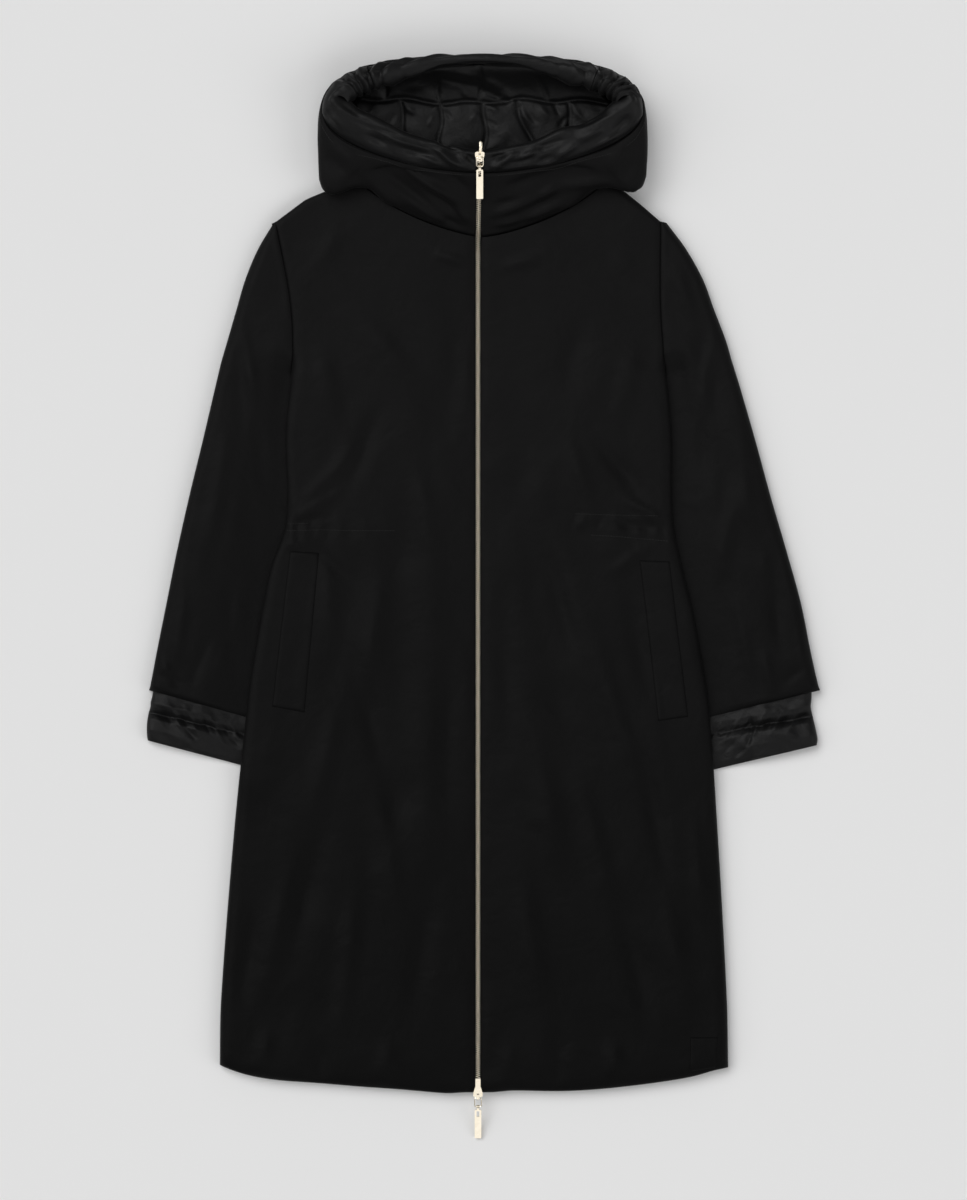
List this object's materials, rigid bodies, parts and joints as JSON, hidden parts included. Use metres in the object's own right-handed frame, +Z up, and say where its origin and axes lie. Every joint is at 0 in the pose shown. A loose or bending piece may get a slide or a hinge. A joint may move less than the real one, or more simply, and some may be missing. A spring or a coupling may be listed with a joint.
{
  "type": "parka",
  "caption": "Long black hooded parka laid flat, with quilted lining showing in the hood and at the cuffs and a gold two-way zip.",
  "frame": {"origin": "middle of the laid coat's outline, on the surface that it lies on", "axes": "+Y from the hem to the hood, +Z up off the surface, +X to the right of the coat seen from above"},
  "size_m": [0.794, 1.2766, 0.0707],
  "materials": {
    "shell": "matte woven nylon, black",
    "lining": "glossy quilted nylon, black",
    "metal": "polished pale gold"
  },
  "bodies": {
    "coat": {"back_panel": "shell", "front_left": "shell", "front_right": "shell", "sleeve_left_under": "shell", "sleeve_left_upper": "shell", "sleeve_right_under": "shell", "sleeve_right_upper": "shell", "cuff_left_under": "lining", "cuff_left_upper": "lining", "cuff_right_under": "lining", "cuff_right_upper": "lining", "hood_back": "shell", "hood_side_left": "shell", "hood_side_right": "shell", "hood_centre": "shell", "hood_back_lining": "lining", "hood_lining_left": "lining", "hood_lining_right": "lining", "hood_lining_centre": "lining", "pocket_welt_left": "shell", "pocket_welt_right": "shell", "hem_tab": "shell", "zip_chain_left": "metal", "zip_chain_right": "metal", "slider_top": "metal", "slider_bottom": "metal"},
    "top_bail": {"bail_top": "metal"},
    "top_pull": {"pull_top": "metal"},
    "bottom_bail": {"bail_bottom": "metal"},
    "bottom_pull": {"pull_bottom": "metal"}
  },
  "joints": [
    {"name": "top_bail_hinge", "type": "hinge", "parent": "coat", "child": "top_bail", "pos_m": [-0.0044, 0.51583, 0.06724], "axis": [-1, 0, 0], "range_deg": [0, 120]},
    {"name": "top_pull_hinge", "type": "hinge", "parent": "top_bail", "child": "top_pull", "pos_m": [-0.0044, 0.50557, 0.06326], "axis": [-1, 0, 0], "range_deg": [0, 50]},
    {"name": "bottom_bail_hinge", "type": "hinge", "parent": "coat", "child": "bottom_bail", "pos_m": [-0.0065, -0.59003, 0.02007], "axis": [-1, 0, 0], "range_deg": [0, 120]},
    {"name": "bottom_pull_hinge", "type": "hinge", "parent": "bottom_bail", "child": "bottom_pull", "pos_m": [-0.0065, -0.60037, 0.01631], "axis": [-1, 0, 0], "range_deg": [0, 50]}
  ]
}
